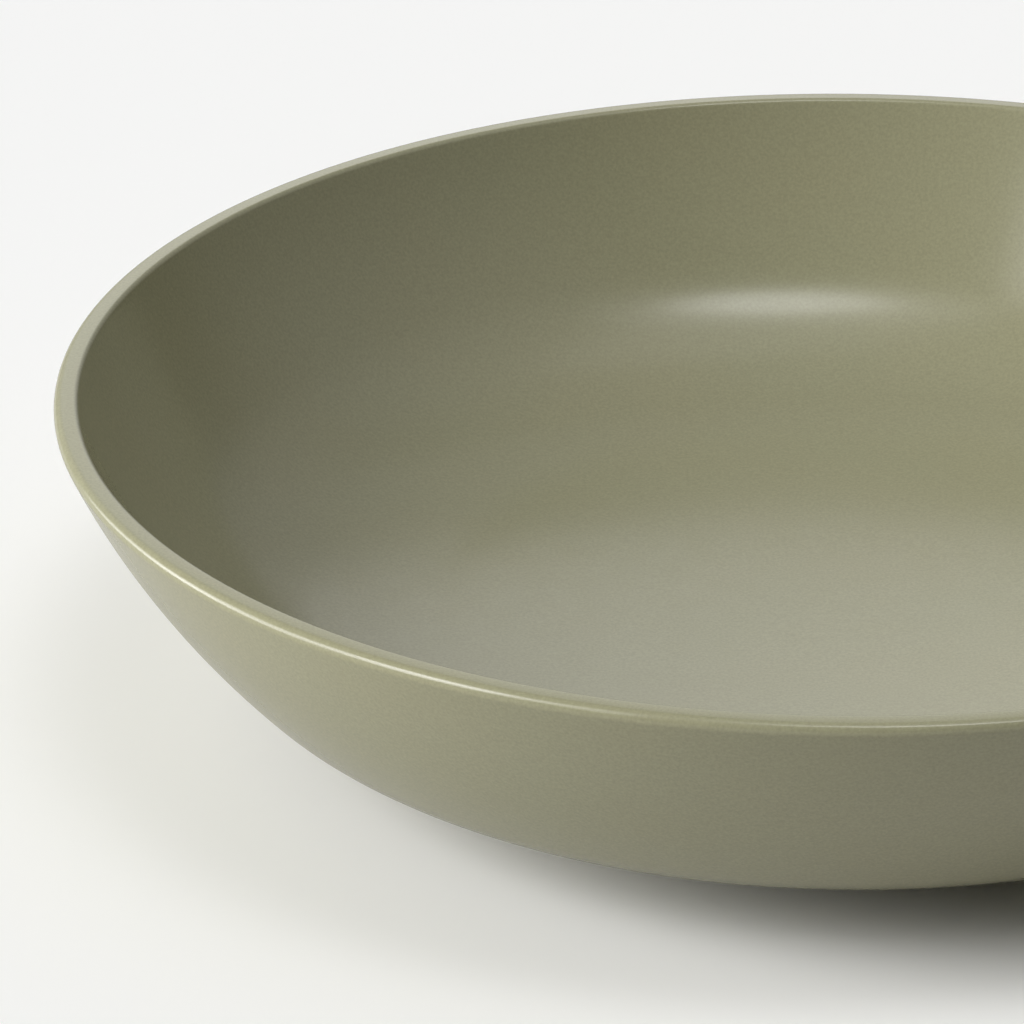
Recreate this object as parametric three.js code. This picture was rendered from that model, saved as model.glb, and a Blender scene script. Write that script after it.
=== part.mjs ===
// Deep plate in glazed stoneware: one fired clay body and the two coats of glaze on it.
// Millimetres, +Z up, origin on the table under the centre of the plate.
import * as THREE from 'three';

// Overall size, over the glaze
const PLATE_DIAMETER = 230;
const PLATE_HEIGHT = 50;
const GLAZE_THICKNESS = 0.4;
const GLAZE_GAP = 0.02;

// Clay wall: at the rim it leans out from the vertical, and one long curve takes it down to the knee
const WALL_THICKNESS = 3;
const RIM_LEAN = 24.5;
const WALL_CURVE = 117;

// Knee: the turn from the wall to the underside, and the wider one inside, which eases into the floor
const KNEE_HEIGHT = 16;
const KNEE_CURVE = 20;
const INNER_KNEE_CURVE = 37.4;
const FLOOR_CURVE = 90.4;
const FLOOR_CURVE_RISE = 14;

// Floor: its thickness is over the recess, at the edge, from where it falls a little towards the middle
const FLOOR_THICKNESS = 6.1;
const FLOOR_DISH_SLOPE = 3.2;

// Lip of the clay: its top falls outwards from a crest over the inner edge
const LIP_SLOPE = 2;
const LIP_OUTER_RADIUS = 0.85;
const LIP_INNER_RADIUS = 0.5;

// Foot ring: drafted sides, a flat bare face, and the shallow recess inside it
const FOOT_DIAMETER = 125;
const FOOT_HEIGHT = 4.2;
const FOOT_WIDTH = 6;
const FOOT_DRAFT = 8;
const FOOT_FILLET = 2;
const FOOT_EDGE_RADIUS = 0.8;
const BARE_FOOT_HEIGHT = 1.6;
const RECESS_HEIGHT = 5.2;

// Colours and finish
const CLAY_COLOUR = 0xb9a88c;
const CLAY_ROUGHNESS = 0.85;
const GLAZE_COLOUR = 0x8c8a70;
const GLAZE_ROUGHNESS = 0.3;

// Facets round the plate, and along the arcs of its section
const SEGMENTS = 64;
const LONG_ARC_STEPS = 4;
const ARC_STEPS = 3;
const FILLET_STEPS = 2;

const UP = Math.PI / 2;
const DOWN = -Math.PI / 2;
const FULL_TURN = 2 * Math.PI;
const radians = THREE.MathUtils.degToRad;

function direction(angle) {
  return new THREE.Vector2(Math.cos(angle), Math.sin(angle));
}

function along(start, angle, distance) {
  return start.clone().addScaledVector(direction(angle), distance);
}

function arc(centre, radius, fromAngle, toAngle, steps) {
  const clockwise = toAngle < fromAngle;
  const curve = new THREE.EllipseCurve(centre.x, centre.y, radius, radius, fromAngle, toAngle, clockwise);
  return curve.getPoints(steps);
}

// Reach, along the bisector of two faces' outward angles, from their corner to its rounding's centre
function cornerReach(radius, fromAngle, toAngle) {
  return radius / Math.cos((toAngle - fromAngle) / 2);
}

// A corner of the clay rounded off, with the arc centred inside the clay
function roundedCorner(corner, radius, fromAngle, toAngle) {
  const centre = along(corner, (fromAngle + toAngle) / 2, -cornerReach(radius, fromAngle, toAngle));
  return arc(centre, radius, fromAngle, toAngle, FILLET_STEPS);
}

// A hollow corner filled in, with the arc centred outside the clay
function filledCorner(corner, radius, fromAngle, toAngle) {
  const centre = along(corner, (fromAngle + toAngle) / 2, cornerReach(radius, fromAngle, toAngle));
  return arc(centre, radius, fromAngle + Math.PI, toAngle + Math.PI, FILLET_STEPS);
}

// Points on the two sides of the foot ring, which draw in towards its bare face
function footDraw(height) {
  return (FOOT_HEIGHT - height) * Math.tan(radians(FOOT_DRAFT));
}

function footOutside(height) {
  return new THREE.Vector2(FOOT_DIAMETER / 2 - footDraw(height), height);
}

function footInside(height) {
  return new THREE.Vector2(FOOT_DIAMETER / 2 - FOOT_WIDTH + footDraw(height), height);
}

const FOOT_OUTSIDE_ANGLE = -radians(FOOT_DRAFT);
const FOOT_INSIDE_ANGLE = radians(FOOT_DRAFT) - Math.PI;

// Arc centres and joining angles of the wall and its lip, with the crest at its height
function wallArcs() {
  const rimAngle = -radians(RIM_LEAN);
  const topAngle = UP - radians(LIP_SLOPE);
  const lipOuter = new THREE.Vector2(PLATE_DIAMETER / 2 - GLAZE_THICKNESS - LIP_OUTER_RADIUS, 0);
  const wall = along(lipOuter, rimAngle, LIP_OUTER_RADIUS - WALL_CURVE);

  // The inner rounding touches the top of the lip and the inside of the wall
  const rise = lipOuter.clone().sub(wall).dot(direction(topAngle)) + LIP_OUTER_RADIUS - LIP_INNER_RADIUS;
  const reach = WALL_CURVE - WALL_THICKNESS + LIP_INNER_RADIUS;
  const lipInner = along(along(wall, topAngle, rise), topAngle - UP, Math.sqrt(reach ** 2 - rise ** 2));

  const lift = PLATE_HEIGHT - GLAZE_THICKNESS - LIP_INNER_RADIUS - lipInner.y;
  for (const centre of [lipOuter, wall, lipInner]) {
    centre.y += lift;
  }
  const lipInnerAngle = lipInner.clone().sub(wall).angle() - FULL_TURN;
  return { rimAngle, topAngle, lipOuter, wall, lipInner, lipInnerAngle };
}

// Glazed stretch outside: from the outer glaze line on the foot, up the underside and the wall, to the lip
function outerSection({ rimAngle, topAngle, lipOuter, wall }) {
  const kneeAngle = Math.asin((KNEE_HEIGHT - wall.y) / WALL_CURVE);
  const knee = along(wall, kneeAngle, WALL_CURVE - KNEE_CURVE);

  // The underside is the line from the foot's corner that touches the knee
  const corner = footOutside(FOOT_HEIGHT);
  const toCorner = corner.clone().sub(knee);
  const undersideAngle = toCorner.angle() - FULL_TURN + Math.acos(KNEE_CURVE / toCorner.length());

  return [
    footOutside(BARE_FOOT_HEIGHT),
    ...filledCorner(corner, FOOT_FILLET, FOOT_OUTSIDE_ANGLE, undersideAngle),
    ...arc(knee, KNEE_CURVE, undersideAngle, kneeAngle, ARC_STEPS),
    ...arc(wall, WALL_CURVE, kneeAngle, rimAngle, LONG_ARC_STEPS).slice(1),
    ...arc(lipOuter, LIP_OUTER_RADIUS, rimAngle, topAngle, ARC_STEPS).slice(1),
  ];
}

// Glazed stretch inside: from the lip down the wall and across to the middle of the floor
function innerSection({ topAngle, wall, lipInner, lipInnerAngle }) {
  const edgeHeight = RECESS_HEIGHT + FLOOR_THICKNESS + FLOOR_CURVE;
  const wallInside = WALL_CURVE - WALL_THICKNESS;

  // The floor's edge curves up to the inner knee, which touches the inside of the wall
  const easeAngle = DOWN + radians(FLOOR_CURVE_RISE);
  const ease = direction(easeAngle).multiplyScalar(FLOOR_CURVE - INNER_KNEE_CURVE);
  const kneeAngle = Math.asin((edgeHeight + ease.y - wall.y) / (wallInside - INNER_KNEE_CURVE));
  const knee = along(wall, kneeAngle, wallInside - INNER_KNEE_CURVE);
  const floorEdge = knee.clone().sub(ease);

  // The dish of the floor runs on from its edge to the axis
  const dishAngle = DOWN + radians(FLOOR_DISH_SLOPE);
  const dishRadius = FLOOR_CURVE + floorEdge.x / Math.sin(radians(FLOOR_DISH_SLOPE));
  const dish = along(floorEdge, dishAngle, FLOOR_CURVE - dishRadius);

  return [
    ...arc(lipInner, LIP_INNER_RADIUS, topAngle, lipInnerAngle + Math.PI, FILLET_STEPS),
    ...arc(wall, wallInside, lipInnerAngle, kneeAngle, LONG_ARC_STEPS).slice(1),
    ...arc(knee, INNER_KNEE_CURVE, kneeAngle, easeAngle, ARC_STEPS).slice(1),
    ...arc(floorEdge, FLOOR_CURVE, easeAngle, dishAngle, ARC_STEPS).slice(1),
    ...arc(dish, dishRadius, dishAngle, DOWN, ARC_STEPS).slice(1, -1),
    new THREE.Vector2(0, dish.y - dishRadius),
  ];
}

function upperSection() {
  const arcs = wallArcs();
  return [...outerSection(arcs), ...innerSection(arcs)];
}

// Bare stretch: the face of the foot ring between its two glaze lines
function footSection() {
  return [
    ...roundedCorner(footInside(0), FOOT_EDGE_RADIUS, FOOT_INSIDE_ANGLE, DOWN),
    ...roundedCorner(footOutside(0), FOOT_EDGE_RADIUS, DOWN, FOOT_OUTSIDE_ANGLE),
  ];
}

// Glazed stretch underneath: from the middle of the recess to the inner glaze line on the foot
function recessSection() {
  return [
    new THREE.Vector2(0, RECESS_HEIGHT),
    ...filledCorner(footInside(RECESS_HEIGHT), FOOT_FILLET, DOWN, FOOT_INSIDE_ANGLE),
    footInside(BARE_FOOT_HEIGHT),
  ];
}

// The point a step on along a stretch; past an end on the axis it is the mirror image of the one before
function neighbour(stretch, index, step) {
  const end = stretch[index];
  if (index + step >= 0 && index + step < stretch.length) {
    return stretch[index + step];
  }
  return end.x === 0 ? new THREE.Vector2(-stretch[index - step].x, stretch[index - step].y) : end;
}

// The line that lies a distance square out from a stretch of the clay
function outsideOf(clay, distance) {
  return clay.map((point, index) => {
    const onwards = neighbour(clay, index, 1).clone().sub(neighbour(clay, index, -1));
    const outside = along(point, onwards.angle() - UP, distance);
    return point.x === 0 ? outside.setX(0) : outside;
  });
}

// A solid of revolution with its axis upright
function turned(name, section, color, roughness) {
  const geometry = new THREE.LatheGeometry(section, SEGMENTS);
  geometry.rotateX(UP);
  const mesh = new THREE.Mesh(geometry, new THREE.MeshStandardMaterial({ color, roughness, metalness: 0 }));
  mesh.name = name;
  return mesh;
}

function stonewareBody() {
  const section = [...recessSection(), ...footSection(), ...upperSection()];
  return turned('stoneware_body', section, CLAY_COLOUR, CLAY_ROUGHNESS);
}

// One unbroken coat over the outside, the lip and the eating surface
function glazeCoat() {
  const clay = upperSection();
  const section = [...outsideOf(clay, GLAZE_GAP).toReversed(), ...outsideOf(clay, GLAZE_THICKNESS)];
  return turned('glaze_coat', section, GLAZE_COLOUR, GLAZE_ROUGHNESS);
}

// The coat in the recess, which the bare foot ring parts from the other
function baseGlaze() {
  const clay = recessSection();
  const section = [...outsideOf(clay, GLAZE_THICKNESS), ...outsideOf(clay, GLAZE_GAP).toReversed()];
  return turned('base_glaze', section, GLAZE_COLOUR, GLAZE_ROUGHNESS);
}

const plate = new THREE.Group();
plate.add(stonewareBody(), glazeCoat(), baseGlaze());

export default plate;
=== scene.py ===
"""Deep plate in sage-glazed stoneware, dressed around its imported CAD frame, with its stage and camera."""
import math
from functools import cached_property
from typing import NamedTuple

import bmesh
import bpy
from bpy.props import FloatProperty, FloatVectorProperty, PointerProperty
from bpy.types import Operator, Panel, PropertyGroup
from mathutils import Matrix, Vector


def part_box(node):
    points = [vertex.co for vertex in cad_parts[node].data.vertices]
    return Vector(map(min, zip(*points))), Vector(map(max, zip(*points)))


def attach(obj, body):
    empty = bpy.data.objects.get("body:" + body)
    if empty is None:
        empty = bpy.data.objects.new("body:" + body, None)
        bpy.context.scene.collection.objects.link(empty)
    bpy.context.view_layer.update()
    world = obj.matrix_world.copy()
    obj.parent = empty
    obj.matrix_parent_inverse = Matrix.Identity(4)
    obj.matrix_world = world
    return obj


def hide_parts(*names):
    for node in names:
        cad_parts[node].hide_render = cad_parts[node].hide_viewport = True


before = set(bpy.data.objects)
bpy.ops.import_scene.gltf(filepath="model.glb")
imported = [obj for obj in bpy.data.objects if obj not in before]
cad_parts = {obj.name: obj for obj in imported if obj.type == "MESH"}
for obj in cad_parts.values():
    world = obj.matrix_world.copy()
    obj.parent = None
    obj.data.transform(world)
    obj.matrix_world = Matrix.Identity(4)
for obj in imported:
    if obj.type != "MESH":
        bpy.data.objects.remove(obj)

bl_info = {
    "name": "Deep Plate",
    "version": (1, 0, 0),
    "blender": (4, 5, 0),
    "location": "3D View > Sidebar > Deep Plate",
    "description": "Builds a deep plate of glazed stoneware, a pale stage and a camera",
    "category": "Add Mesh",
}

MM = 0.001
UP = math.pi / 2
DOWN = -math.pi / 2
FULL_TURN = 2 * math.pi

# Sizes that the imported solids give
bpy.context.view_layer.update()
COAT_LOW, COAT_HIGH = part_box("glaze_coat")
_, CLAY_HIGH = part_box("stoneware_body")
RIM_DIAMETER = COAT_HIGH.x - COAT_LOW.x
PLATE_HEIGHT = COAT_HIGH.z
GLAZE_THICKNESS = COAT_HIGH.z - CLAY_HIGH.z

# How finely the arcs of the section and the turn about the axis are divided
ARC_STEP_ANGLE = math.radians(6)
ARC_STEP_LENGTH = 1.5 * MM
TURN_STEPS = 256
MERGE_DISTANCE = 0.001 * MM

# Edge of the glaze where it stops on the foot
COAT_EDGE_SHARE = 1 / 3
COAT_EDGE_SEGMENTS = 3
COAT_EDGE_ANGLE = math.radians(60)

# Names of the finishes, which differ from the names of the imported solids' own materials
GLAZE_FINISH = "satin_sage_glaze"
CLAY_FINISH = "sandy_bare_clay"

# Grain of the finishes
NOISE_RANGE = (0.3, 0.7)
NOISE_ROUGHNESS = 0.6
NOISE_DETAIL = 2
GLAZE_DRIFT = 30 * MM
GLAZE_GLOSS_PATCH = 4 * MM
GLOSS_DRIFT = 0.015
CLAY_SAND = 0.5 * MM
CLAY_SAND_DETAIL = 4
CLAY_SAND_DEPTH = 0.06 * MM
CLAY_SPECK_SPACING = 1.6 * MM
CLAY_SPECK_EDGE = (0.1, 0.2)
CLAY_SPECK_TONE = 0.6

# The photograph's frame
IMAGE_SIZE = 1024
SENSOR_WIDTH = 36.0
CAMERA_REACH = 100


class Glow(NamedTuple):
    """A soft light far off, in degrees: its direction from the plate, how far to each side and up or down
    it has faded out, the brightness of its middle, and the turn of its sides about its direction.

    Azimuth runs from behind the plate towards its right.
    """

    azimuth: float
    elevation: float
    width: float
    height: float
    level: float
    turn: float = 0


GLOWS = (
    # The key light, low on the left
    Glow(249, 30, 22, 22, 9.7),
    Glow(246, 42, 16, 16, 4.8),
    Glow(275, 10, 24, 24, 7.7),
    Glow(295, 5, 22, 22, 5.5),
    # The streak on the back knee, the halo round it, and the light from overhead
    Glow(158, 72, 16, 8, 5.0, -22),
    Glow(160, 74, 28, 14, 1.5, -20),
    Glow(130, 82, 30, 20, 0.8),
    # The reflection on the inside of the wall at the right edge of the photograph
    Glow(224, 44, 8, 28, 3.4, 16),
    # The pale room above, behind and to the right
    Glow(70, 58, 48, 48, 0.4),
    Glow(10, 26, 50, 24, 0.5),
    Glow(5, 12, 22, 22, 0.55),
    Glow(1, 22, 14, 12, 0.6),
    Glow(335, 20, 30, 30, 0.4),
    Glow(90, 35, 45, 45, 0.3),
)


def length(label, description, millimetres):
    """A size property in metres."""
    return FloatProperty(
        name=label, description=description, default=millimetres * MM, min=0, precision=5, unit="LENGTH"
    )


def angle(label, description, degrees):
    """An angle property in radians."""
    return FloatProperty(
        name=label, description=description, default=math.radians(degrees), precision=4, subtype="ANGLE"
    )


def share(label, description, default):
    """A plain factor from 0 to 1."""
    return FloatProperty(
        name=label, description=description, default=default, min=0, max=1, subtype="FACTOR"
    )


def colour(label, description, default):
    """A scene-linear colour."""
    return FloatVectorProperty(
        name=label, description=description, default=default, size=3, min=0, max=1, subtype="COLOR"
    )


class DeepPlateSizes(PropertyGroup):
    """Sizes of the plate's section, over the clay unless they say glazed"""

    rim_diameter: length("Rim diameter", "Across the rim, glazed", RIM_DIAMETER / MM)
    height: length("Height", "From the table to the crest of the lip, glazed", PLATE_HEIGHT / MM)
    glaze: length("Glaze", "Thickness of the glaze, with the gap under it", GLAZE_THICKNESS / MM)
    glaze_gap: length("Glaze gap", "Gap between the clay and the glaze", 0.02)
    wall: length("Wall", "Thickness of the wall", 3)
    rim_lean: angle("Rim lean", "Lean of the wall at the rim, from the vertical", 24.5)
    wall_curve: length("Wall curve", "Radius of the wall's long curve, outside", 117)
    knee_height: length("Knee height", "Height at which the wall turns into the knee, outside", 16)
    knee_curve: length("Knee curve", "Radius of the knee, outside", 20)
    inner_knee_curve: length("Inner knee curve", "Radius of the knee, inside", 37.4)
    floor_curve: length("Floor curve", "Radius that eases the inner knee into the floor", 90.4)
    floor_curve_rise: angle("Floor curve rise", "Slope where the floor's curve meets the inner knee", 14)
    floor: length("Floor", "Thickness of the floor over the recess, at its edge", 6.1)
    floor_dish_slope: angle("Floor dish slope", "Slope of the dished floor at its edge", 3.2)
    lip_slope: angle("Lip slope", "Fall of the lip's top towards the outside", 2)
    lip_outer_radius: length("Lip outer radius", "Rounding of the lip, outside", 0.85)
    lip_inner_radius: length("Lip inner radius", "Rounding of the lip, inside", 0.5)
    foot_diameter: length("Foot diameter", "Across the foot ring, at its root", 125)
    foot_height: length("Foot height", "Height of the foot ring, outside", 4.2)
    foot_width: length("Foot width", "Width of the foot ring, at its root", 6)
    foot_draft: angle("Foot draft", "Draft of the foot ring's sides", 8)
    foot_fillet: length("Foot fillet", "Rounding at the root of the foot ring", 2)
    foot_edge: length("Foot edge", "Rounding of the foot ring's bare face", 0.8)
    bare_foot: length("Bare foot", "Height to which the foot ring is bare", 1.6)
    recess: length("Recess", "Height of the recess inside the foot ring", 5.2)


class DeepPlateFinish(PropertyGroup):
    """Colours and gloss of the glaze and of the bare clay"""

    glaze_colour: colour("Glaze", "Colour of the glaze", (0.330, 0.323, 0.206))
    glaze_warm_colour: colour("Warm glaze", "Colour of the glaze in warmer patches", (0.334, 0.322, 0.203))
    glaze_mottle: share("Glaze mottle", "How much the grain lightens and darkens the glaze", 0.08)
    glaze_roughness: share("Glaze roughness", "Roughness of the glaze", 0.16)
    glaze_grain: length("Glaze grain", "Width of the grain in the glaze", 0.45)
    glaze_grain_depth: length("Glaze grain depth", "Depth of the grain in the glaze", 0.003)
    clay_colour: colour("Clay", "Colour of the bare clay", (0.50, 0.42, 0.31))
    clay_dark_colour: colour("Dark clay", "Colour of the darker grains in the clay", (0.40, 0.33, 0.24))
    clay_roughness: share("Clay roughness", "Roughness of the bare clay", 0.85)


class DeepPlateStage(PropertyGroup):
    """The floor, the backdrop and the camera"""

    floor_size: length("Floor", "Width and length of the floor", 12000)
    floor_colour: colour("Floor colour", "Colour that the camera sees", (0.97, 0.97, 0.962))
    floor_bounce: colour("Floor bounce", "Colour that all other rays see", (0.66, 0.655, 0.645))
    backdrop: colour("Backdrop", "Colour behind the floor", (0.88, 0.87, 0.86))
    camera_elevation: angle("Camera elevation", "Height of the camera over the horizon", 24.352)
    camera_roll: angle("Camera roll", "Turn of the camera about its own axis", 0.466)
    camera_distance: length("Camera distance", "From the camera to the rim, along its axis", 1160.371)
    camera_left: length("Camera left", "How far the camera aims left of the rim's centre", 48.73)
    camera_down: length("Camera down", "How far the camera aims below the rim's centre", 18.77)
    focal_pixels: FloatProperty(name="Focal length", description="In pixels of the image", default=8000)


def polar(direction, distance=1.0):
    """A step in the plane of the section, whose direction is an angle up from +X."""
    return Vector((math.cos(direction), 0, math.sin(direction))) * distance


def wall_arcs(sizes):
    """Centres and joining angles of the wall and its lip, with the crest at its height."""
    rim_angle = -sizes.rim_lean
    top_angle = UP - sizes.lip_slope
    lip_outer = Vector((sizes.rim_diameter / 2 - sizes.glaze - sizes.lip_outer_radius, 0, 0))
    wall = lip_outer - polar(rim_angle, sizes.wall_curve - sizes.lip_outer_radius)

    # The inner rounding touches the top of the lip and the inside of the wall
    rise = (lip_outer - wall).dot(polar(top_angle)) + sizes.lip_outer_radius - sizes.lip_inner_radius
    reach = sizes.wall_curve - sizes.wall + sizes.lip_inner_radius
    lip_inner = wall + polar(top_angle, rise) + polar(top_angle - UP, math.sqrt(reach**2 - rise**2))

    lift = sizes.height - sizes.glaze - sizes.lip_inner_radius - lip_inner.z
    for centre in (lip_outer, wall, lip_inner):
        centre.z += lift
    from_wall = lip_inner - wall
    lip_inner_angle = math.atan2(from_wall.z, from_wall.x)
    return rim_angle, top_angle, lip_outer, wall, lip_inner, lip_inner_angle


def foot_draw(sizes, height):
    """How far each side of the foot ring has drawn in at a height."""
    return (sizes.foot_height - height) * math.tan(sizes.foot_draft)


def foot_outside(sizes, height):
    """The point at a height on the foot ring's outer side."""
    return Vector((sizes.foot_diameter / 2 - foot_draw(sizes, height), 0, height))


def foot_inside(sizes, height):
    """The point at a height on the foot ring's inner side."""
    return Vector((sizes.foot_diameter / 2 - sizes.foot_width + foot_draw(sizes, height), 0, height))


def rounded_corner(corner, radius, from_angle, to_angle):
    """The arc that rounds off a corner of the clay."""
    reach = radius / math.cos((to_angle - from_angle) / 2)
    return corner - polar((from_angle + to_angle) / 2, reach), radius, from_angle, to_angle


def filled_corner(corner, radius, from_angle, to_angle, coat):
    """The arc that fills a hollow corner, drawn in by the coat on it."""
    reach = radius / math.cos((to_angle - from_angle) / 2)
    centre = corner + polar((from_angle + to_angle) / 2, reach)
    return centre, radius - coat, from_angle + math.pi, to_angle + math.pi


def outer_arcs(sizes, coat):
    """Arcs of the outside, from the foot's root to the lip, a coat's thickness off the clay."""
    rim_angle, top_angle, lip_outer, wall, _, _ = wall_arcs(sizes)
    knee_angle = math.asin((sizes.knee_height - wall.z) / sizes.wall_curve)
    knee = wall + polar(knee_angle, sizes.wall_curve - sizes.knee_curve)

    # The underside is the line from the foot's corner that touches the knee
    corner = foot_outside(sizes, sizes.foot_height)
    to_corner = corner - knee
    corner_angle = math.atan2(to_corner.z, to_corner.x)
    if corner_angle > 0:
        corner_angle -= FULL_TURN
    underside_angle = corner_angle + math.acos(sizes.knee_curve / to_corner.length)

    return [
        filled_corner(corner, sizes.foot_fillet, -sizes.foot_draft, underside_angle, coat),
        (knee, sizes.knee_curve + coat, underside_angle, knee_angle),
        (wall, sizes.wall_curve + coat, knee_angle, rim_angle),
        (lip_outer, sizes.lip_outer_radius + coat, rim_angle, top_angle),
    ]


def inner_arcs(sizes, coat):
    """Arcs of the inside, from the lip to the floor, a coat's thickness off the clay."""
    _, top_angle, _, wall, lip_inner, lip_inner_angle = wall_arcs(sizes)
    wall_inside = sizes.wall_curve - sizes.wall

    # The floor's edge curves up to the inner knee, which touches the inside of the wall
    ease_angle = DOWN + sizes.floor_curve_rise
    ease = polar(ease_angle, sizes.floor_curve - sizes.inner_knee_curve)
    edge_height = sizes.recess + sizes.floor + sizes.floor_curve
    knee_rise = edge_height + ease.z - wall.z
    knee_angle = math.asin(knee_rise / (wall_inside - sizes.inner_knee_curve))
    knee = wall + polar(knee_angle, wall_inside - sizes.inner_knee_curve)
    floor_edge = knee - ease

    # The dish of the floor runs on from its edge to the axis
    dish_angle = DOWN + sizes.floor_dish_slope
    dish_radius = sizes.floor_curve + floor_edge.x / math.sin(sizes.floor_dish_slope)
    dish = floor_edge - polar(dish_angle, dish_radius - sizes.floor_curve)
    return [
        (lip_inner, sizes.lip_inner_radius + coat, top_angle, lip_inner_angle + math.pi),
        (wall, wall_inside - coat, lip_inner_angle, knee_angle),
        (knee, sizes.inner_knee_curve - coat, knee_angle, ease_angle),
        (floor_edge, sizes.floor_curve - coat, ease_angle, dish_angle),
        (dish, dish_radius - coat, dish_angle, DOWN),
    ]


def line_to(bm, tip, point):
    """Carries the section's last point on in a straight line, unless it is there already."""
    if (tip.co - point).length < MERGE_DISTANCE:
        return tip
    grown = bmesh.ops.extrude_vert_indiv(bm, verts=[tip])
    grown["verts"][0].co = point
    return grown["verts"][0]


def arc_on(bm, tip, centre, radius, from_angle, to_angle):
    """Carries the section on to the start of an arc, and round it."""
    tip = line_to(bm, tip, centre + polar(from_angle, radius))
    turn = to_angle - from_angle
    steps = math.ceil(max(abs(turn) / ARC_STEP_ANGLE, abs(turn) * radius / ARC_STEP_LENGTH))
    spun = bmesh.ops.spin(bm, geom=[tip], cent=centre, axis=(0, -1, 0), angle=turn, steps=steps)
    return next(item for item in spun["geom_last"] if isinstance(item, bmesh.types.BMVert))


def turned_piece(name, start, arcs, material, end=None):
    """A section of arcs and the lines between them, turned about the plate's axis into a piece."""
    bm = bmesh.new()
    tip = bm.verts.new(start)
    for arc in arcs:
        tip = arc_on(bm, tip, *arc)
    if end:
        line_to(bm, tip, end)
    bmesh.ops.spin(
        bm, geom=bm.verts[:] + bm.edges[:], cent=(0, 0, 0), axis=(0, 0, 1),
        angle=FULL_TURN, steps=TURN_STEPS, use_merge=True,
    )
    bmesh.ops.remove_doubles(bm, verts=bm.verts, dist=MERGE_DISTANCE)
    bmesh.ops.recalc_face_normals(bm, faces=bm.faces)
    for face in bm.faces:
        face.smooth = True
    mesh = bpy.data.meshes.new(name)
    bm.to_mesh(mesh)
    bm.free()
    mesh.materials.append(material)
    piece = bpy.data.objects.new(name, mesh)
    bpy.context.scene.collection.objects.link(piece)
    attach(piece, "root")
    return piece


def thicken_coat(piece, sizes):
    """Gives a coat of glaze its thickness inwards, and rounds the edge where it stops on the foot."""
    shell = piece.modifiers.new("Glaze thickness", "SOLIDIFY")
    shell.thickness = sizes.glaze - sizes.glaze_gap
    shell.offset = -1
    shell.use_even_offset = True
    edge = piece.modifiers.new("Glaze edge", "BEVEL")
    edge.width = shell.thickness * COAT_EDGE_SHARE
    edge.segments = COAT_EDGE_SEGMENTS
    edge.limit_method = "ANGLE"
    edge.angle_limit = COAT_EDGE_ANGLE


class ShaderNodes:
    """Adds nodes to a shader's tree, and joins them up."""

    def __init__(self, tree):
        self.tree = tree

    def add(self, kind, inputs=None, **settings):
        """A node with its settings, whose inputs are given values or joined to other nodes' outputs."""
        node = self.tree.nodes.new(kind)
        for name, value in settings.items():
            setattr(node, name, value)
        for name, value in (inputs or {}).items():
            self.give(node, name, value)
        return node

    def give(self, node, name, value):
        """Sets an input of a node to a value, or joins it to another node's output."""
        if isinstance(value, bpy.types.NodeSocket):
            self.tree.links.new(value, node.inputs[name])
        else:
            node.inputs[name].default_value = value

    def spread(self, value, low, high, to_low, to_high, **settings):
        """A value between low and high, carried over to another pair."""
        inputs = {"Value": value, "From Min": low, "From Max": high, "To Min": to_low, "To Max": to_high}
        return self.add("ShaderNodeMapRange", inputs, **settings).outputs["Result"]

    def camera_ray(self):
        """1 where the camera itself looks, and 0 for all light on its way round the scene."""
        return self.add("ShaderNodeLightPath").outputs["Is Camera Ray"]


class FinishNodes(ShaderNodes):
    """A new material, with nodes that are joined up to its Principled shader."""

    def __init__(self, name):
        self.material = bpy.data.materials.new(name)
        self.material.use_nodes = True
        super().__init__(self.material.node_tree)
        self.shader = self.tree.nodes["Principled BSDF"]

    @cached_property
    def place(self):
        """The place on the piece, in metres."""
        return self.add("ShaderNodeTexCoord").outputs["Object"]

    def noise(self, grain, detail=NOISE_DETAIL):
        """Soft noise whose grains are about that many metres across."""
        inputs = {"Vector": self.place, "Scale": 1 / grain, "Detail": detail, "Roughness": NOISE_ROUGHNESS}
        return self.add("ShaderNodeTexNoise", inputs).outputs["Fac"]

    def blend(self, factor, first, second):
        """A colour that goes from the first to the second."""
        ramp = self.add("ShaderNodeValToRGB", {"Fac": factor})
        ramp.color_ramp.elements[0].color = (*first, 1)
        ramp.color_ramp.elements[1].color = (*second, 1)
        return ramp.outputs["Color"]

    def toned(self, shade, tone):
        """A colour made lighter or darker by a tone, which leaves it as it is at 1."""
        inputs = {0: shade, "Scale": tone}
        return self.add("ShaderNodeVectorMath", inputs, operation="SCALE").outputs["Vector"]

    def roughen(self, height, depth):
        """Gives the surface a relief that deep."""
        bump = {"Height": height, "Strength": 1, "Distance": depth}
        self.give(self.shader, "Normal", self.add("ShaderNodeBump", bump).outputs["Normal"])


def glaze_material(finish):
    """Satin glaze: a greyed sage green whose tone drifts a little, with a fine dry grain in it."""
    nodes = FinishNodes(GLAZE_FINISH)
    grain = nodes.noise(finish.glaze_grain)
    drift = nodes.spread(nodes.noise(GLAZE_DRIFT), *NOISE_RANGE, 0, 1)
    shade = nodes.blend(drift, finish.glaze_colour, finish.glaze_warm_colour)
    tone = nodes.spread(grain, *NOISE_RANGE, 1 - finish.glaze_mottle, 1 + finish.glaze_mottle)
    nodes.give(nodes.shader, "Base Color", nodes.toned(shade, tone))

    gloss = nodes.noise(GLAZE_GLOSS_PATCH)
    least, most = finish.glaze_roughness - GLOSS_DRIFT, finish.glaze_roughness + GLOSS_DRIFT
    nodes.give(nodes.shader, "Roughness", nodes.spread(gloss, *NOISE_RANGE, least, most))
    nodes.roughen(grain, finish.glaze_grain_depth)
    return nodes.material


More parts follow.
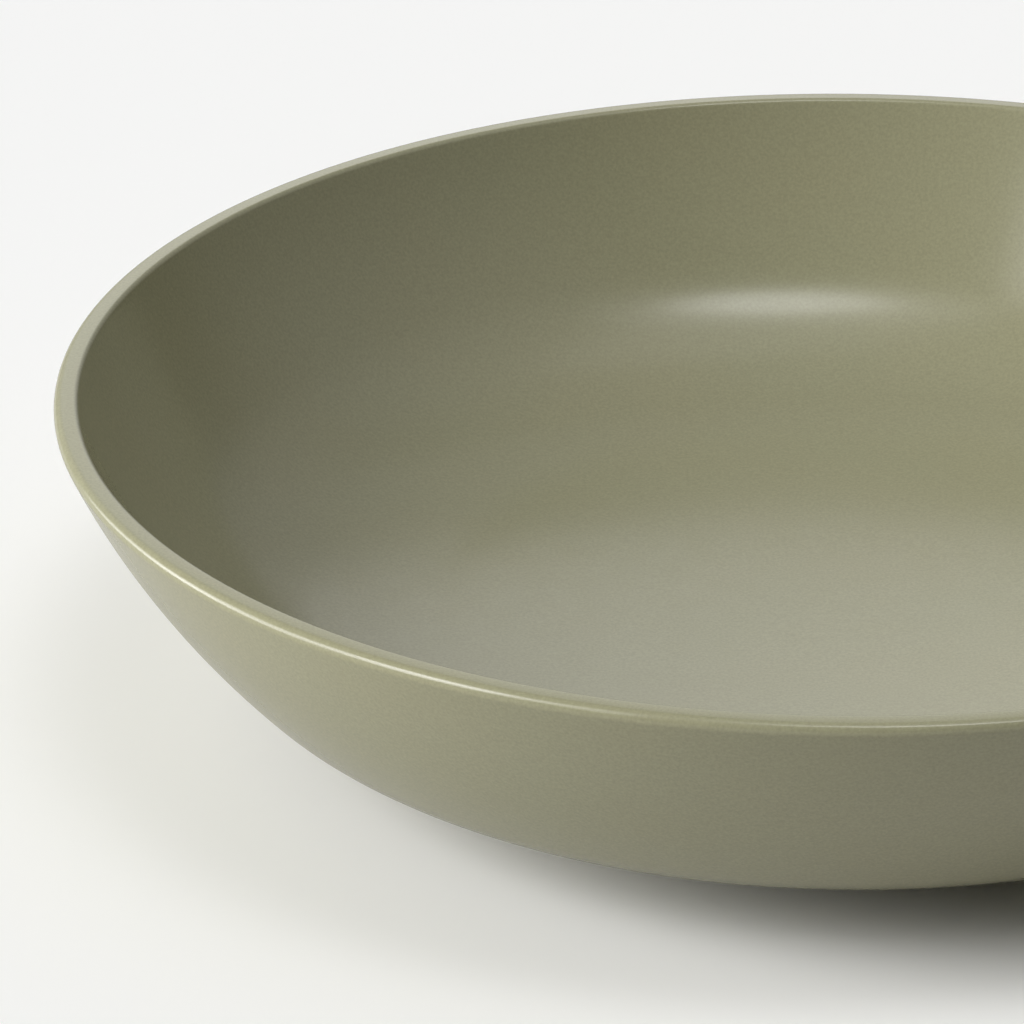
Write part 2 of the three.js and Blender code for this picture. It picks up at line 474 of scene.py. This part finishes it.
def clay_material(finish):
    """Bare fired clay, dry and sandy, with a few darker specks."""
    nodes = FinishNodes(CLAY_FINISH)
    sand = nodes.noise(CLAY_SAND, CLAY_SAND_DETAIL)
    grains = nodes.spread(sand, *NOISE_RANGE, 0, 1)
    shade = nodes.blend(grains, finish.clay_dark_colour, finish.clay_colour)
    specks = nodes.add("ShaderNodeTexVoronoi", {"Vector": nodes.place, "Scale": 1 / CLAY_SPECK_SPACING})
    tone = nodes.spread(specks.outputs["Distance"], *CLAY_SPECK_EDGE, CLAY_SPECK_TONE, 1)
    nodes.give(nodes.shader, "Base Color", nodes.toned(shade, tone))
    nodes.give(nodes.shader, "Roughness", finish.clay_roughness)
    nodes.roughen(sand, CLAY_SAND_DEPTH)
    return nodes.material


def shared_material(name, make, finish):
    """The finish of that name, made the first time that it is asked for."""
    return bpy.data.materials.get(name) or make(finish)


class DEEPPLATE_OT_stoneware_body(Operator):
    """Turns the clay body, which shows on the face of the foot ring"""

    bl_idname = "deep_plate.stoneware_body"
    bl_label = "Stoneware body"

    def execute(self, context):
        sizes = context.scene.deep_plate_sizes
        inside = sizes.foot_draft - math.pi
        recess_corner = foot_inside(sizes, sizes.recess)
        arcs = [
            filled_corner(recess_corner, sizes.foot_fillet, DOWN, inside, 0),
            rounded_corner(foot_inside(sizes, 0), sizes.foot_edge, inside, DOWN),
            rounded_corner(foot_outside(sizes, 0), sizes.foot_edge, DOWN, -sizes.foot_draft),
            *outer_arcs(sizes, 0),
            *inner_arcs(sizes, 0),
        ]
        start = Vector((0, 0, sizes.recess))
        material = shared_material(CLAY_FINISH, clay_material, context.scene.deep_plate_finish)
        body = turned_piece("plate_body", start, arcs, material)
        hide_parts("stoneware_body")
        return {"FINISHED"}


class DEEPPLATE_OT_glaze_coat(Operator):
    """Turns the coat of glaze over the outside, the lip and the eating surface"""

    bl_idname = "deep_plate.glaze_coat"
    bl_label = "Glaze coat"

    def execute(self, context):
        sizes = context.scene.deep_plate_sizes
        start = foot_outside(sizes, sizes.bare_foot) + polar(-sizes.foot_draft, sizes.glaze)
        arcs = [*outer_arcs(sizes, sizes.glaze), *inner_arcs(sizes, sizes.glaze)]
        material = shared_material(GLAZE_FINISH, glaze_material, context.scene.deep_plate_finish)
        coat = turned_piece("plate_glaze", start, arcs, material)
        thicken_coat(coat, sizes)
        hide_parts("glaze_coat")
        return {"FINISHED"}


class DEEPPLATE_OT_base_glaze(Operator):
    """Turns the coat of glaze in the recess under the plate"""

    bl_idname = "deep_plate.base_glaze"
    bl_label = "Base glaze"

    def execute(self, context):
        sizes = context.scene.deep_plate_sizes
        inside = sizes.foot_draft - math.pi
        start = Vector((0, 0, sizes.recess - sizes.glaze))
        recess_corner = foot_inside(sizes, sizes.recess)
        arcs = [filled_corner(recess_corner, sizes.foot_fillet, DOWN, inside, sizes.glaze)]
        end = foot_inside(sizes, sizes.bare_foot) + polar(inside, sizes.glaze)
        material = shared_material(GLAZE_FINISH, glaze_material, context.scene.deep_plate_finish)
        coat = turned_piece("recess_glaze", start, arcs, material, end)
        thicken_coat(coat, sizes)
        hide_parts("base_glaze")
        return {"FINISHED"}


def make_floor(stage):
    """A plain matt floor, paler to the camera than the light it throws up."""
    bm = bmesh.new()
    bmesh.ops.create_grid(bm, x_segments=1, y_segments=1, size=stage.floor_size / 2)
    mesh = bpy.data.meshes.new("stage_floor")
    bm.to_mesh(mesh)
    bm.free()
    nodes = FinishNodes("stage_floor")
    shade = nodes.blend(nodes.camera_ray(), stage.floor_bounce, stage.floor_colour)
    nodes.give(nodes.shader, "Base Color", shade)
    nodes.give(nodes.shader, "Roughness", 1)
    nodes.give(nodes.shader, "Specular IOR Level", 0)
    mesh.materials.append(nodes.material)
    floor = bpy.data.objects.new("stage_floor", mesh)
    bpy.context.scene.collection.objects.link(floor)


def heading(azimuth, elevation):
    """The direction from the plate at that azimuth and elevation."""
    level = Vector((math.sin(azimuth), math.cos(azimuth), 0))
    return level * math.cos(elevation) + Vector((0, 0, math.sin(elevation)))


def glow_frame(glow):
    """The place, turn and size of a glow on the sphere round the plate, of radius 1."""
    azimuth = math.radians(glow.azimuth)
    middle = heading(azimuth, math.radians(glow.elevation))
    sideways = Matrix.Rotation(math.radians(glow.turn), 3, middle) @ heading(azimuth + UP, 0)
    facing = Matrix((sideways, middle.cross(sideways), middle)).transposed()
    width, height = (2 * math.sin(math.radians(reach) / 2) for reach in (glow.width, glow.height))
    scale = (width, height, max(width, height))
    return {"Location": middle, "Rotation": facing.to_euler(), "Scale": scale}


def make_world(stage):
    """The room round the plate: the glows add up to its light, and the camera sees a plain backdrop."""
    world = bpy.data.worlds.new("stage_world")
    world.use_nodes = True
    world.node_tree.nodes.clear()
    nodes = ShaderNodes(world.node_tree)
    outwards = nodes.add("ShaderNodeTexCoord").outputs["Generated"]
    total = 0.0
    for glow in GLOWS:
        placed = {"Vector": outwards, **glow_frame(glow)}
        offset = nodes.add("ShaderNodeMapping", placed, vector_type="TEXTURE").outputs["Vector"]
        squared = nodes.add("ShaderNodeVectorMath", {0: offset, 1: offset}, operation="DOT_PRODUCT")
        light = nodes.spread(squared.outputs["Value"], 1, 0, 0, glow.level, interpolation_type="SMOOTHSTEP")
        total = nodes.add("ShaderNodeMath", {0: total, 1: light}).outputs["Value"]
    room = nodes.add("ShaderNodeBackground", {"Strength": total}).outputs["Background"]
    backdrop = nodes.add("ShaderNodeBackground", {"Color": (*stage.backdrop, 1)}).outputs["Background"]
    mix = nodes.add("ShaderNodeMixShader", {0: nodes.camera_ray(), 1: room, 2: backdrop})
    nodes.add("ShaderNodeOutputWorld", {"Surface": mix.outputs["Shader"]})
    bpy.context.scene.world = world


def make_camera(stage, plate_height):
    """A camera at the photograph's place, so that the image falls where the photograph does."""
    data = bpy.data.cameras.new("photo_camera")
    data.sensor_fit = "HORIZONTAL"
    data.sensor_width = SENSOR_WIDTH
    data.lens = stage.focal_pixels * SENSOR_WIDTH / IMAGE_SIZE
    data.clip_end = CAMERA_REACH
    tilt = stage.camera_elevation
    forward = Vector((0, math.cos(tilt), -math.sin(tilt)))
    level_right = Vector((1, 0, 0))
    level_up = level_right.cross(forward)
    roll_cos, roll_sin = math.cos(stage.camera_roll), math.sin(stage.camera_roll)
    right = level_right * roll_cos - level_up * roll_sin
    up = level_right * roll_sin + level_up * roll_cos
    place = Vector((0, 0, plate_height)) - forward * stage.camera_distance
    place -= level_right * stage.camera_left + level_up * stage.camera_down
    camera = bpy.data.objects.new("photo_camera", data)
    camera.matrix_world = Matrix.Translation(place) @ Matrix((right, up, -forward)).transposed().to_4x4()
    bpy.context.scene.collection.objects.link(camera)
    bpy.context.scene.camera = camera


class DEEPPLATE_OT_stage(Operator):
    """Sets the floor, the light round the plate and the camera"""

    bl_idname = "deep_plate.stage"
    bl_label = "Stage"

    def execute(self, context):
        stage = context.scene.deep_plate_stage
        make_floor(stage)
        make_world(stage)
        make_camera(stage, context.scene.deep_plate_sizes.height)
        context.scene.view_settings.view_transform = "Standard"
        return {"FINISHED"}


OPERATORS = (
    DEEPPLATE_OT_stoneware_body,
    DEEPPLATE_OT_glaze_coat,
    DEEPPLATE_OT_base_glaze,
    DEEPPLATE_OT_stage,
)


class DEEPPLATE_PT_panel(Panel):
    """Lists the plate's pieces and its stage in the sidebar"""

    bl_idname = "DEEPPLATE_PT_panel"
    bl_label = "Deep Plate"
    bl_space_type = "VIEW_3D"
    bl_region_type = "UI"
    bl_category = "Deep Plate"

    def draw(self, context):
        for operator in OPERATORS:
            self.layout.operator(operator.bl_idname)
        for group in GROUPS:
            settings = getattr(context.scene, group)
            box = self.layout.box()
            for name in settings.bl_rna.properties.keys():
                if name not in ("rna_type", "name"):
                    box.prop(settings, name)


GROUPS = {
    "deep_plate_sizes": DeepPlateSizes,
    "deep_plate_finish": DeepPlateFinish,
    "deep_plate_stage": DeepPlateStage,
}
CLASSES = (*GROUPS.values(), *OPERATORS, DEEPPLATE_PT_panel)


def register():
    for cls in CLASSES:
        bpy.utils.register_class(cls)
    for name, group in GROUPS.items():
        setattr(bpy.types.Scene, name, PointerProperty(type=group))


def unregister():
    for name in GROUPS:
        delattr(bpy.types.Scene, name)
    for cls in reversed(CLASSES):
        bpy.utils.unregister_class(cls)


def main():
    register()
    bpy.ops.deep_plate.stoneware_body()
    bpy.ops.deep_plate.glaze_coat()
    bpy.ops.deep_plate.base_glaze()
    bpy.ops.deep_plate.stage()


if __name__ == "__main__":
    main()
